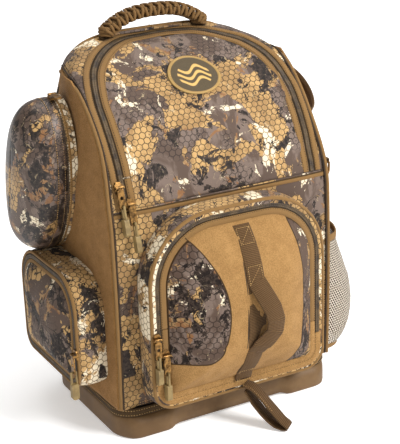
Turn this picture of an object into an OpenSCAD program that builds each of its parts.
// Tackle backpack on a moulded boot: a main compartment that opens by a U-shaped zip, a domed
// front pocket, a shell case and a zipped pocket on the left side, a mesh bottle pocket on the
// right side, a braided carry handle and padded shoulder straps.
// X runs across the pack, the front faces -Y, Z is up. The origin is on the floor, under the
// middle of the boot.

/* [Boot] */
// Width of the moulded boot
boot_w = 330; // [320:1:340]
// Depth of the moulded boot
boot_d = 220; // [216:1:226]
// Height of the moulded boot's wall
boot_h = 30; // [24:1:34]
// Radius of the boot's upright corners
boot_r = 32; // [20:1:40]
// Thickness of the boot's wall and floor
boot_wall = 4; // [3:0.5:5]

/* [Body] */
// Half the body's width at the edge piping
body_hw = 160; // [158:1:162]
// Height of the crown above the floor
crown_z = 494; // [492:1:498]
// Height of the seam that the main flap folds along
seam_z = 315; // [312:1:320]
// Thickness of the sewn panels
panel_t = 3.5; // [3:0.5:4]

/* [Front pocket] */
// Half the width of the front pocket
pocket_hw = 130; // [126:1:131]
// Depth of the front pocket's gusset
pocket_d = 32; // [28:1:36]
// How far the pocket's face domes forward of its zip
pocket_dome = 44; // [36:1:46]
// Height of the line that the front pocket's flap folds along
pocket_fold_z = 118; // [110:1:124]

/* [Side pockets] */
// How far the left zipped pocket's gusset stands out
side_d = 40; // [34:1:42]
// How far the shell case's lid domes beyond its rim
case_dome = 40; // [34:1:44]
// How far the mesh pocket bulges out of the right side
mesh_bulge = 78; // [70:1:80]

/* [Handle and webbing] */
// Height of the carry handle's top above the floor
handle_top = 531; // [529:1:536]
// Width of the webbing
web_w = 24; // [20:1:26]
// Thickness of the webbing
web_t = 2; // [1.6:0.2:2.2]

/* [Hidden] */
gap = 0.2;                          // between solids that only touch
zip_gap = 0.3;                      // between the two halves of a zip
far = 400;                          // longer than any part, for cutting
binding_z = boot_h + 12;            // top of the stitched binding
back_y = 102;                       // inner face of the back panel, where it is upright
back_bend_z = 190;                  // height at which the back starts to lean forward
back_lean = 4.4;                    // degrees that it leans
back_t = 8;                         // thickness of the padded back panel
front_y = -108;                     // foremost line of the body's front
tan_cloth = "peru";
camo_cloth = "darkkhaki";
zip_brown = "saddlebrown";
strap_brown = "sienna";

// The front leans back along an arc, and the main zip's legs follow it: [y, z] of its middle.
lean_c = [118, 270];
lean_r = 226;
function on_lean(a, r = lean_r) = lean_c + r * [-cos(a), sin(a)];

// Outer line of the front and crown, from the boot up and back: [y, z].
profile = concat([[-104, binding_z + gap], [-107, 130], [front_y, 210]],
                 [for (a = [6 : 4 : 90]) on_lean(a)]);

// Inner line of the back panel, from above the crown down: [y, z].
back_rise = crown_z + 30 - back_bend_z;
back_line = [[back_y - back_rise * tan(back_lean), back_bend_z + back_rise], [back_y, back_bend_z],
             [back_y, binding_z + gap]];

// Height of the crown's middle, so many mm back from the pack's middle.
function crown_at(y) = lean_c[1] + sqrt(pow(lean_r, 2) - pow(lean_c[0] - y, 2));

// ---- helpers ----

// Outward unit normal of the segment from a to b.
function outward(a, b) = let (d = b - a) [-d[1], d[0]] / norm(d);

// The open line p moved outward by d, mitred at its corners.
function moved(p, d) = let (n = len(p) - 1) [
  for (i = [0 : n])
    let (before = outward(p[max(i - 1, 0)], p[max(i, 1)]),
         after = outward(p[min(i, n - 1)], p[min(i + 1, n)]))
    p[i] + d * (before + after) / (1 + before * after)];

// The points of p, last first.
function turned(p) = [for (i = [len(p) - 1 : -1 : 0]) p[i]];

// A closed strip of thickness t along the outside of the open line p.
function strip(p, t) = concat(p, turned(moved(p, t)));

// Half of a squared arch from (w, z0) up to (0, top), with n steps.
function half_arch(w, z0, top, power, n = 12) = [
  for (i = [0 : n]) let (a = 90 * i / n)
    [w * pow(cos(a), 2 / power), z0 + (top - z0) * pow(sin(a), 2 / power)]];

// A squared oval around the origin.
function oval(a, b, power, n = 40) = [
  for (i = [0 : n - 1]) let (t = 360 * i / n)
    [a * sign(cos(t)) * pow(abs(cos(t)), 2 / power), b * sign(sin(t)) * pow(abs(sin(t)), 2 / power)]];

// Extrudes a shape drawn in [y, z] from x0 to x1.
module across(x0, x1) translate([x0, 0, 0]) rotate([90, 0, 90]) linear_extrude(x1 - x0) children();

// Extrudes a shape drawn in [x, z] from y0 to y1.
module along(y0, y1) translate([0, y1, 0]) rotate([90, 0, 0]) linear_extrude(y1 - y0) children();

module box(low, high) translate(low) cube(high - low);

// A rectangle with separate radii for its lower and upper corners.
module rounded(x0, x1, z0, z1, low_r, high_r) {
  translate([x0 + low_r, z0]) square([x1 - x0 - 2 * low_r, z1 - z0 - high_r]);
  translate([x0 + high_r, z0 + low_r]) square([x1 - x0 - 2 * high_r, z1 - z0 - low_r]);
  translate([x0, z0 + low_r]) square([x1 - x0, z1 - z0 - low_r - high_r]);
  for (x = [x0 + low_r, x1 - low_r]) translate([x, z0 + low_r]) circle(low_r, $fn = 48);
  for (x = [x0 + high_r, x1 - high_r]) translate([x, z1 - high_r]) circle(high_r, $fn = 48);
}

// A flat-bottomed squared arch: a front view of the body or of an opening in it.
module arch(w, bottom, z0, top, power) {
  right = half_arch(w, z0, top, power);
  left = turned([for (p = right) [-p[0], p[1]]]);
  polygon(concat([[-w, bottom], [w, bottom]], right, left));
}

// ---- boot ----

module boot_outline(inset) {
  w = boot_w / 2 - inset;
  d = boot_d / 2 - inset;
  rounded(-w, w, -d, d, boot_r - inset, boot_r - inset);
}

pad_out = 5;                        // how far the two front feet stand forward of the boot
pad_in = 90;                        // inner edge of each front foot
arch_z = 4;                         // clearance under the boot between its front feet

module base_tray() color("tan") {
  difference() {
    union() {
      linear_extrude(boot_h) boot_outline(0);
      linear_extrude(boot_h - 3) for (side = [0, 1]) mirror([side, 0])
        rounded(pad_in, boot_w / 2 - 6, -boot_d / 2 - pad_out, -boot_d / 2 + 34, 10, 10);
    }
    translate([0, 0, boot_wall]) linear_extrude(boot_h) boot_outline(boot_wall);
    box([-pad_in + 6, -boot_d / 2 - 1, -1], [pad_in - 6, -boot_d / 2 + 40, arch_z - 1]);
  }
}

module base_binding() color(zip_brown) {
  translate([0, 0, boot_h + gap]) linear_extrude(binding_z - boot_h - gap) difference() {
    boot_outline(0.5);
    boot_outline(3);
  }
}

module floor_board() color("dimgray")
  translate([0, 0, boot_wall + gap]) linear_extrude(4) boot_outline(boot_wall + 3);

// ---- body ----

arch_z0 = 390;                      // height at which the body's sides start to curve in
arch_power = 4;

// Everything in front of the back panel, or past it by so many mm.
module before_back(past = 0) across(-far, far)
  polygon(concat(moved(back_line, past), [[-far, binding_z + gap], [-far, back_line[0][1]]]));

// Everything inside the body's front and crown line, moved outward by d.
module loaf(d, w, top, past = 0) intersection() {
  across(-w, w) polygon(concat(moved(profile, d), [[far, binding_z + gap]]));
  before_back(past);
  along(-far, far) arch(w, 0, arch_z0, top, arch_power);
}

// The body's sewn front and crown as one skin, open at the sides where the side panels are.
module skin(out, thick) difference() {
  loaf(out, body_hw - gap, crown_z + out);
  loaf(out - thick, body_hw - gap - thick, crown_z + out - thick, past = 1);
  intersection() {
    across(-far, far)
      polygon(concat(moved(profile, out - thick), [[far, crown_z], [far, 0]]));
    box([-far, -far, 0], [far, far, side_top]);
  }
}

side_top = 436;                     // top of the flat side panels
flap_hw = 138;                      // half the width between the two legs of the main zip
flap_z0 = 400;                      // height at which those legs start to curve in
flap_power = 3.4;
zip_half = 2.85;                    // width of one half of the zip's teeth
crown_slope = 0.3;                  // rise per step across the zip, where it crosses the crown

// Front view of the opening, moved outward by d from the middle of the zip.
module opening(d, bottom = seam_z + zip_gap)
  arch(flap_hw + d, bottom, flap_z0, crown_z - 4.5 + d * crown_slope, flap_power);

// Lower left corner of the opening, where the zip's sliders are parked.
garage = [[-150, seam_z], [-126.2, seam_z + 38]];

module parked(grow = 0) along(-far, far) translate(garage[0] - [grow, grow])
  square(garage[1] - garage[0] + [2 * grow, 2 * grow]);

module above_seam(z = seam_z + zip_gap) box([-far, -far, z], [far, far, far * 2]);

module front_panel() color(camo_cloth) intersection() {
  skin(0, panel_t);
  box([-far, -far, 0], [far, far, seam_z]);
}

module top_wrap() color(camo_cloth) difference() {
  intersection() {
    skin(0, panel_t);
    above_seam(seam_z + gap);
  }
  difference() {
    along(-far, far) opening(zip_gap / 2 + zip_half + gap, 0);
    parked();
  }
}

module main_flap() color(camo_cloth) difference() {
  intersection() {
    skin(0, panel_t);
    above_seam();
    along(-far, far) opening(-zip_gap / 2 - zip_half - gap);
  }
  parked(zip_gap);
}

module main_zip_body() color(zip_brown) difference() {
  intersection() {
    skin(1.4, 3);
    above_seam();
    along(-far, far) opening(zip_gap / 2 + zip_half);
  }
  along(-far, far) opening(zip_gap / 2, 0);
  parked(gap);
}

module main_zip_flap() color(zip_brown) difference() {
  intersection() {
    skin(1.4, 3);
    above_seam();
    along(-far, far) opening(-zip_gap / 2);
  }
  along(-far, far) opening(-zip_gap / 2 - zip_half, 0);
  parked(zip_gap);
}

// Left flat side: -1, right: 1.
module side_panel(side) color(tan_cloth) intersection() {
  across(side > 0 ? body_hw : -body_hw - 3, side > 0 ? body_hw + 3 : -body_hw)
    polygon(concat(moved(profile, -1.2), [[far, binding_z + gap]]));
  before_back();
  box([-far, -far, 0], [far, far, side_top - gap]);
}

module side_panel_left() side_panel(-1);
module side_panel_right() side_panel(1);

module edge_piping() color(tan_cloth) intersection() {
  for (x = [-body_hw - 4, body_hw]) across(x, x + 4) polygon(strip(moved(profile, -1), 3.5));
  box([-far, -far, 0], [far, far, side_top - gap]);
}

module back_panel() color(tan_cloth) intersection() {
  across(-far, far) polygon(strip(moved(back_line, gap), back_t - gap));
  along(-far, far) arch(body_hw, binding_z + gap, arch_z0, crown_z - 1, arch_power);
}

module frame_sheet() color("dimgray") intersection() {
  across(-far, far) polygon(strip(moved(back_line, -2.5), 2.5));
  along(-far, far) arch(body_hw - 14, binding_z + 12, arch_z0 - 20, crown_z - 22, arch_power);
}

// Places things drawn on an upright back onto the leaning part of it.
module leant() translate([0, back_y, back_bend_z]) rotate([back_lean, 0, 0])
  translate([0, -back_y, -back_bend_z]) children();

module back_pads() color("dimgray") leant() for (side = [0, 1]) mirror([side, 0, 0])
  hull() {
    along(back_y + back_t + gap, back_y + back_t + 3) rounded(14, 122, 194, 420, 20, 30);
    along(back_y + back_t + 3, back_y + back_t + 14) rounded(22, 114, 202, 412, 20, 30);
  }

module lumbar_pad() color("dimgray") hull() {
  along(back_y + back_t + gap, back_y + back_t + 3) rounded(-124, 124, 62, 178, 24, 24);
  along(back_y + back_t + 3, back_y + back_t + 17) rounded(-112, 112, 74, 166, 24, 24);
}

// An oval patch lying on the main flap, above its middle.
patch_z = 447;

module emblem_patch() color("olive") intersection() {
  skin(2.2, 2);
  along(-100, 60) translate([8, patch_z]) polygon(oval(36, 18.5, 2));
}

// ---- zips: slider, tab and cord ----

// All three are drawn for a zip whose face is the plane y = 0 and faces -Y, pulled down -Z.
slider_hw = 5.4;                    // half the width of a slider
slider_hh = 7;                      // half its height
bar_y = -6.2;                       // the tab's hinge, out from the zip's face
tab_hw = 4.6;
cord_z = -24;                       // the cord's hole in the tab, below the hinge
cord_r = 1.5;
cord_side = 3.6;                    // distance of each of the cord's two runs from its middle
cord_run = 17;
tip_len = 21;                       // the moulded end that both runs go into

module slider_shape() color("tan") {
  difference() {
    box([-slider_hw, -3, -slider_hh], [slider_hw, -zip_gap, slider_hh]);
    for (side = [-1, 1]) translate([side * (slider_hw + 1), 0, slider_hh]) rotate([90, 0, 0])
      cylinder(h = 8, r = 3.2, center = true, $fn = 32);
  }
  for (side = [0, 1]) mirror([side, 0, 0]) box([tab_hw + gap, -7.6, -1.5], [slider_hw + 0.4, -3, 1.5]);
  translate([0, bar_y, 0]) rotate([0, 90, 0])
    cylinder(h = 2 * slider_hw - 0.4, r = 0.9, center = true, $fn = 24);
}

module tab_shape() color("tan") difference() {
  union() {
    translate([0, bar_y, 0]) rotate([0, 90, 0]) cylinder(h = 2 * tab_hw, r = 1.9, center = true, $fn = 32);
    box([-2.4, bar_y - 0.9, -6], [2.4, bar_y + 0.9, -1]);
    along(bar_y - 0.9, bar_y + 0.9) rounded(-tab_hw, tab_hw, cord_z - 3.4, -3.4, 4, 2);
  }
  translate([0, bar_y, 0]) rotate([0, 90, 0]) cylinder(h = 20, r = 1, center = true, $fn = 32);
  for (hole = [[cord_z, cord_r + 0.6], [-13.5, 2.4]]) translate([0, bar_y, hole[0]])
    rotate([90, 0, 0]) cylinder(h = 9, r = hole[1], center = true, $fn = 32);
}

module cord_shape() color("darkkhaki") translate([0, bar_y, cord_z]) {
  rotate([90, 0, 0]) cylinder(h = 2 * cord_side, r = cord_r, center = true, $fn = 24);
  for (y = [-cord_side, cord_side]) translate([0, y, 0]) {
    sphere(cord_r, $fn = 24);
    translate([0, 0, -cord_run]) cylinder(h = cord_run, r = cord_r, $fn = 24);
  }
  across(-3.4, 3.4) rounded(-5.1, 5.1, -cord_run - tip_len, -cord_run + 1, 4, 2.4);
}

// Places: each slider, and its tab and cord, which hang at a tilt of their own.
pull_hang = 14;                     // degrees that the main zip's pulls lean out from plumb
park_x = [-144, -132.6];          // the main zip's two sliders, upper first
park_a = [19.1, 13.5];              // and their angles on the lean
pocket_front = front_y - gap - pocket_d - 2.2;
side_out = -body_hw - 3 - gap - side_d - 2.2;
case_c = [46, 331];                 // middle of the shell case: [y, z]
case_a = 58;
case_b = 108;
case_turn = 14;                     // degrees that the case leans forward
case_top = case_c[1] + norm([case_b * cos(case_turn), case_a * sin(case_turn)]);

module on_main(i) {
  place = on_lean(park_a[i], lean_r + 1.4);
  translate([park_x[i], place[0], place[1]]) rotate([-park_a[i], 0, 0]) children();
}

module hung(i) on_main(i)
  translate([0, bar_y, 0]) rotate([park_a[i] - pull_hang, 0, 0]) translate([0, -bar_y, 0]) children();

module at_front_a() translate([-124.4, pocket_front, 152]) children();
module at_front_b() translate([-112.8, pocket_front, 127]) children();
module at_side() translate([side_out, -75.4, 124]) rotate([0, 0, -90]) children();
module at_case() translate([-174, 22, case_top + gap]) rotate([-90, 0, 0]) children();

module main_slider_a() on_main(0) slider_shape();
module main_slider_b() on_main(1) slider_shape();
module front_slider_a() at_front_a() slider_shape();
module front_slider_b() at_front_b() slider_shape();
module side_slider() at_side() slider_shape();
module case_slider() at_case() slider_shape();
module main_tab_a() hung(0) tab_shape();
module main_tab_b() hung(1) tab_shape();
module front_tab_a() at_front_a() tab_shape();
module front_tab_b() at_front_b() tab_shape();
module side_tab() at_side() tab_shape();
module case_tab() at_case() tab_shape();
module main_cord_a() hung(0) cord_shape();
module main_cord_b() hung(1) cord_shape();
module front_cord_a() at_front_a() cord_shape();
module front_cord_b() at_front_b() cord_shape();
module side_cord() at_side() cord_shape();

// ---- front pocket ----

pocket_z = [48, 308];
pocket_r = [30, 92];                // its lower and upper corners
tape_y = front_y - gap - pocket_d;  // back of the flat zip tape
band_w = 24;                        // width of the zip tape all round the face

module pocket_outline(inset)
  rounded(-pocket_hw + inset, pocket_hw - inset, pocket_z[0] + inset, pocket_z[1] - inset,
          max(pocket_r[0] - inset, 6), max(pocket_r[1] - inset, 16));

module front_gusset() color(camo_cloth) along(tape_y, front_y - gap) difference() {
  pocket_outline(0);
  pocket_outline(3);
}

module pocket_tape(from, to) along(tape_y - 2.2, tape_y - gap) difference() {
  pocket_outline(from);
  pocket_outline(to);
}

// Lower left corner of the pocket's zip, where its two sliders are parked.
module pocket_parked(grow = 0)
  box([-pocket_hw - 1, -far, pocket_fold_z - far],
      [-pocket_hw + band_w + grow, 0, pocket_fold_z + 44 + grow]);

module below_fold() box([-far, -far, 0], [far, 0, pocket_fold_z - zip_gap]);

module front_zip_body() color(zip_brown) {
  pocket_tape(0, 9 - zip_gap / 2);
  intersection() {
    pocket_tape(9 - zip_gap / 2, band_w);
    union() {
      below_fold();
      pocket_parked();
    }
  }
}

module front_zip_flap() color(zip_brown) difference() {
  pocket_tape(9 + zip_gap / 2, band_w);
  box([-far, -far, 0], [far, 0, pocket_fold_z + zip_gap]);
  pocket_parked(zip_gap);
}

crest_inset = 70;                   // the dome's crest stays this far inside the pocket's outline

// The domed face as a skin.
module pocket_dome_solid(t) hull() {
  along(tape_y - 3 + t, tape_y - 2.2 - gap + t) pocket_outline(band_w + t, $fn = 32);
  along(tape_y - 2.2 - pocket_dome + t, tape_y - 20) pocket_outline(crest_inset, $fn = 32);
}

module pocket_face() difference() {
  pocket_dome_solid(0);
  pocket_dome_solid(panel_t);
  box([-far, tape_y - 2.2 - gap, 0], [far, 0, far]);
}

module front_face_upper() color(tan_cloth) difference() {
  pocket_face();
  box([-far, -far, 0], [far, 0, pocket_fold_z + zip_gap]);
}

module front_face_lower() color(tan_cloth) intersection() {
  pocket_face();
  below_fold();
}

// The webbing ladder down the middle of the face: [y, z] of its inner side.
face_y = tape_y - 2.2 - pocket_dome - gap;
ladder_top = [[tape_y - 3.2, pocket_z[1] - band_w + 3.5], [face_y, pocket_z[1] - crest_inset + 1.5], [face_y, 218]];
ladder_bow = [[face_y, 218], [face_y - 12, 204], [face_y - 18, 180], [face_y - 16, 156], [face_y - 5, 136],
              [face_y, 130]];
ladder_low = [[face_y, 130], [face_y, pocket_fold_z + zip_gap]];

module webbing_upper() color(strap_brown) across(-web_w / 2, web_w / 2) {
  polygon(strip(turned(ladder_top), web_t));
  polygon(strip(turned(ladder_bow), web_t));
  polygon(strip(turned(ladder_low), web_t));
  translate([face_y - web_t, 196]) square([web_t, 22]);
  translate([face_y - web_t, pocket_fold_z + zip_gap]) square([web_t, 100 - zip_gap]);
}

module webbing_lower() color(strap_brown) across(-web_w / 2, web_w / 2)
  polygon(strip(turned([[face_y, pocket_fold_z - zip_gap], [face_y, pocket_z[0] + crest_inset - 1.5],
                        [tape_y - 3.2, pocket_z[0] + band_w - 3.5]]), web_t));

// The drag loop: a strip that leaves the pocket's lower edge, reaches the floor and comes back.
loop_hinge = [tape_y - 11, 58];     // [y, z]
loop_turn = 40;                     // degrees that it lies turned towards the right
loop_over = [[0, 1], [-16, -6], [-34, -24], [-50, -43], [-58, -52]];
loop_under = [[-58, -54.4], [-42, -55], [-26, -44], [-10, -24], [0, -2]];

module drag_loop() color(strap_brown) translate([0, loop_hinge[0], loop_hinge[1]]) rotate([0, 0, loop_turn])
  across(-web_w / 2 + 2, web_w / 2 - 2) {
    polygon(strip(turned(loop_over), web_t));
    polygon(strip(turned(loop_under), web_t));
    translate([-60, -55]) square([4, 5.4]);
    translate([-1, -2.5]) square([3, 5.5]);
  }

// ---- left side ----

pouch_y = [-78, 100];
pouch_z = [72, 224];
pouch_fold_z = 112;

module pouch_outline(inset)
  rounded(pouch_y[0] + inset, pouch_y[1] - inset, pouch_z[0] + inset, pouch_z[1] - inset,
          max(22 - inset, 6), max(50 - inset, 14));

panel_x = -body_hw - 3 - gap;       // outer face of the left side panel
pouch_x = panel_x - side_d;         // back of the pouch's zip tape

module side_gusset() color(camo_cloth) across(pouch_x, panel_x) difference() {
  pouch_outline(0);
  pouch_outline(3);
}

module pouch_tape(from, to) across(pouch_x - 2.2, pouch_x - gap) difference() {
  pouch_outline(from);
  pouch_outline(to);
}

module pouch_parked(grow = 0)
  box([-far, pouch_y[0] - 1, 0], [0, pouch_y[0] + 18 + grow, pouch_fold_z + 34 + grow]);

module side_zip_body() color(zip_brown) {
  pouch_tape(0, 7 - zip_gap / 2);
  intersection() {
    pouch_tape(7 - zip_gap / 2, 18);
    union() {
      box([-far, -far, 0], [0, far, pouch_fold_z - zip_gap]);
      pouch_parked();
    }
  }
}

module side_zip_flap() color(zip_brown) difference() {
  pouch_tape(7 + zip_gap / 2, 18);
  box([-far, -far, 0], [0, far, pouch_fold_z + zip_gap]);
  pouch_parked(zip_gap);
}

module pouch_dome_solid(t) hull() {
  across(pouch_x - 2.2 - gap + t - 1, pouch_x - 2.2 - gap + t) pouch_outline(18 + t, $fn = 32);
  across(pouch_x - 16 + t, pouch_x - 9) pouch_outline(52, $fn = 32);
}

module pouch_face() difference() {
  pouch_dome_solid(0);
  pouch_dome_solid(panel_t);
  box([pouch_x - 2.2 - gap, -far, 0], [0, far, far]);
}

module side_face_upper() color(camo_cloth) difference() {
  pouch_face();
  box([-far, -far, 0], [0, far, pouch_fold_z + zip_gap]);
}

module side_face_lower() color(camo_cloth) intersection() {
  pouch_face();
  box([-far, -far, 0], [0, far, pouch_fold_z - zip_gap]);
}

// The shell case: a shallow tub on the side panel and a domed lid.
case_x = -175;                      // plane where the tub meets the lid
case_rim = 15;                      // depth of the lid's straight rim

module case_outline(inset) translate(case_c) rotate(case_turn)
  polygon(oval(case_a - inset, case_b - inset, 2));

module case_tub() color(camo_cloth) difference() {
  across(case_x + zip_gap / 2, panel_x) case_outline(0);
  across(case_x, panel_x - 2.5) case_outline(3);
}

// Slices of the dome: [share of the depth, inset]. The first one reaches back over the rim.
dome_steps = [[0, 0], [0.3, 4.5], [0.55, 12.5], [0.78, 26], [0.93, 39], [1, 50]];

// The lid's rim and dome in one, t inside its skin, starting at the plane back.
module case_shell(t, back) hull() for (s = dome_steps) {
  x = case_x - case_rim - s[0] * (case_dome - t);
  across(x, s[0] == 0 ? back : x + 1) case_outline(s[1] + t);
}

module case_lid() color(camo_cloth) difference() {
  case_shell(0, case_x - zip_gap / 2);
  case_shell(3, case_x);
}

// ---- right side ----

mesh_c = -25;                       // middle of the mesh pocket, in y
mesh_hw = 70;
mesh_x = body_hw + 3 + gap;         // outer face of the right side panel
// Slices of the pocket: [z, bulge as a share of mesh_bulge].
mesh_steps = [[binding_z + 3, 0.62], [70, 0.94], [100, 1], [135, 0.92], [170, 0.74], [204, 0.55]];

module mesh_slice(z, bulge, half, h = 0.4) translate([mesh_x, mesh_c, z]) linear_extrude(h) intersection() {
  polygon(oval(bulge, half, 2.4, 32));
  translate([0, -far]) square([far, 2 * far]);
}

module mesh_pocket() color("beige") difference() {
  hull() for (s = mesh_steps) mesh_slice(s[0], s[1] * mesh_bulge, mesh_hw);
  hull() for (s = mesh_steps) mesh_slice(s[0] + 2, s[1] * mesh_bulge - 2.2, mesh_hw - 2.2, 1);
}

module mesh_hem() color(tan_cloth) difference() {
  mesh_slice(mesh_steps[5][0] + 0.6, mesh_steps[5][1] * mesh_bulge + 0.6, mesh_hw + 0.6, 10);
  mesh_slice(mesh_steps[5][0] - 1, mesh_steps[5][1] * mesh_bulge - 2.2, mesh_hw - 2.2, 20);
}

ring_y = -88;
ring_z = 322;                       // height of the D-ring's straight bar
ring_x = mesh_x + 4.2;
ring_r = 1.5;

module ring_bar(h, r) translate([ring_x, ring_y, ring_z]) rotate([90, 0, 0])
  cylinder(h = h, r = r, center = true, $fn = 40);

// The web loop high on the side, which runs down and forward, and the tab that holds the D-ring.
bow_mid = [-18, 402];               // middle of the loop: [y, z]
bow_lean = 52;                      // degrees that it leans back from upright
bow_half = 40;
bow_out = 22;
side_bow = [for (i = [0 : 10]) let (a = 18 * i) [mesh_x + bow_out * sin(a), bow_half * cos(a)]];

module side_webbing() color(strap_brown) {
  translate([0, bow_mid[0], bow_mid[1]]) rotate([-bow_lean, 0, 0]) along(-web_w / 2, web_w / 2)
    polygon(strip(side_bow, web_t));
  difference() {
    union() {
      box([mesh_x, ring_y - 9, ring_z - 24], [mesh_x + 2.4, ring_y + 9, ring_z]);
      ring_bar(18, 3.6);
    }
    ring_bar(30, ring_r + 0.1);
    box([0, ring_y - 20, 0], [mesh_x, ring_y + 20, far]);
  }
}

module d_ring() color("silver") {
  ring_bar(26, ring_r);
  for (y = [-13, 13]) translate([ring_x, ring_y + y, ring_z]) {
    sphere(ring_r, $fn = 32);
    rotate([0, 180, 0]) cylinder(h = 8, r = ring_r, $fn = 32);
  }
  translate([ring_x, ring_y, ring_z - 8]) rotate([90, 0, 0]) rotate([0, 90, 0]) rotate([0, 0, 180])
    rotate_extrude(angle = 180, $fn = 48) translate([13, 0]) circle(ring_r, $fn = 24);
}

// ---- handle ----

handle_x = 70;                      // each foot of the handle
handle_y = 72;
foot_z = crown_z + 5;
foot_hole = 2.2;
lug_hw = 3.6;                       // half the width of the lugs that each foot turns between

module handle_anchors() color(strap_brown) for (side = [0, 1]) mirror([side, 0, 0])
  translate([handle_x, handle_y, foot_z]) {
    rotate([0, 90, 0]) cylinder(h = 20, r = foot_hole - 0.1, center = true, $fn = 32);
    for (x = [-10.4, 8.2]) across(x, x + 2.2) polygon([
      for (y = [-lug_hw, lug_hw]) [y, crown_at(handle_y + y) + gap - foot_z],
      [lug_hw, 2.6], [-lug_hw, 2.6]]);
  }

function handle_line(rise, half, n = 16) = [
  for (i = [0 : n]) let (x = half * (2 * i / n - 1)) [x, foot_z + 5 + rise * (1 - pow(abs(x) / half, 2.6))]];

module carry_handle() color(tan_cloth) {
  translate([0, handle_y, 0]) along(-12, 12)
    polygon(concat(handle_line(handle_top - foot_z - 5, handle_x + 7),
                   turned(handle_line(6, handle_x - 17))));
  for (side = [0, 1]) mirror([side, 0, 0]) translate([handle_x, handle_y, foot_z]) difference() {
    union() {
      rotate([0, 90, 0]) cylinder(h = 14, r = 5.4, center = true, $fn = 40);
      box([-7, -5, 0], [7, 5, 8]);
    }
    rotate([0, 90, 0]) cylinder(h = 20, r = foot_hole, center = true, $fn = 32);
  }
}

// ---- harness ----

// Middle line of a shoulder strap: [x, y, z, tilt].
strap_line = [[58, 117, 440, 60], [64, 138, 446, 20], [74, 152, 420, -8], [92, 158, 360, -2],
              [104, 156, 290, 3], [112, 148, 220, 8], [116, 138, 168, 10]];

module strap_slab(p, w = 62, t = 13) translate([p[0], p[1], p[2]]) rotate([p[3], 0, 0])
  cube([w, t, 6], center = true);

module shoulder_strap(side) color(strap_brown) leant() mirror([side > 0 ? 0 : 1, 0, 0])
  for (i = [0 : len(strap_line) - 2]) hull() {
    strap_slab(strap_line[i]);
    strap_slab(strap_line[i + 1]);
  }

module shoulder_strap_left() shoulder_strap(-1);
module shoulder_strap_right() shoulder_strap(1);

lock_z = [138, 160];
lock_y = 137;

module ladder_locks() color("dimgray") for (side = [0, 1]) mirror([side, 0, 0]) difference() {
  box([100, lock_y - 3, lock_z[0]], [134, lock_y + 3, lock_z[1]]);
  for (z = [lock_z[0] + 4, lock_z[0] + 12.5]) box([103.5, lock_y - 9, z], [130.5, lock_y + 9, z + 4.5]);
}

module strap_webbing() color(strap_brown) for (side = [0, 1]) mirror([side, 0, 0]) hull() {
  box([105, lock_y - 1, lock_z[0] - 3], [129, lock_y + 1, lock_z[0] - 1]);
  box([128, back_y + back_t + 5, 66], [150, back_y + back_t + 7, 68]);
}

module strap_wings() color(tan_cloth) for (side = [0, 1]) mirror([side, 0, 0])
  along(back_y + back_t + gap, back_y + back_t + 4.5) polygon([[158, 46], [158, 96], [126, 66], [126, 46]]);

// ---- the nodes ----

base_tray();
base_binding();
floor_board();
back_panel();
frame_sheet();
side_panel_left();
side_panel_right();
front_panel();
top_wrap();
edge_piping();
main_zip_body();
front_gusset();
front_zip_body();
front_face_lower();
webbing_lower();
case_tub();
side_gusset();
side_zip_body();
side_face_lower();
mesh_pocket();
mesh_hem();
handle_anchors();
back_pads();
lumbar_pad();
shoulder_strap_left();
shoulder_strap_right();
strap_webbing();
ladder_locks();
strap_wings();
side_webbing();
main_flap();
main_zip_flap();
emblem_patch();
front_face_upper();
front_zip_flap();
webbing_upper();
side_face_upper();
side_zip_flap();
case_lid();
carry_handle();
drag_loop();
d_ring();
main_slider_a();
main_slider_b();
front_slider_a();
front_slider_b();
side_slider();
case_slider();
main_tab_a();
main_tab_b();
front_tab_a();
front_tab_b();
side_tab();
case_tab();
main_cord_a();
main_cord_b();
front_cord_a();
front_cord_b();
side_cord();
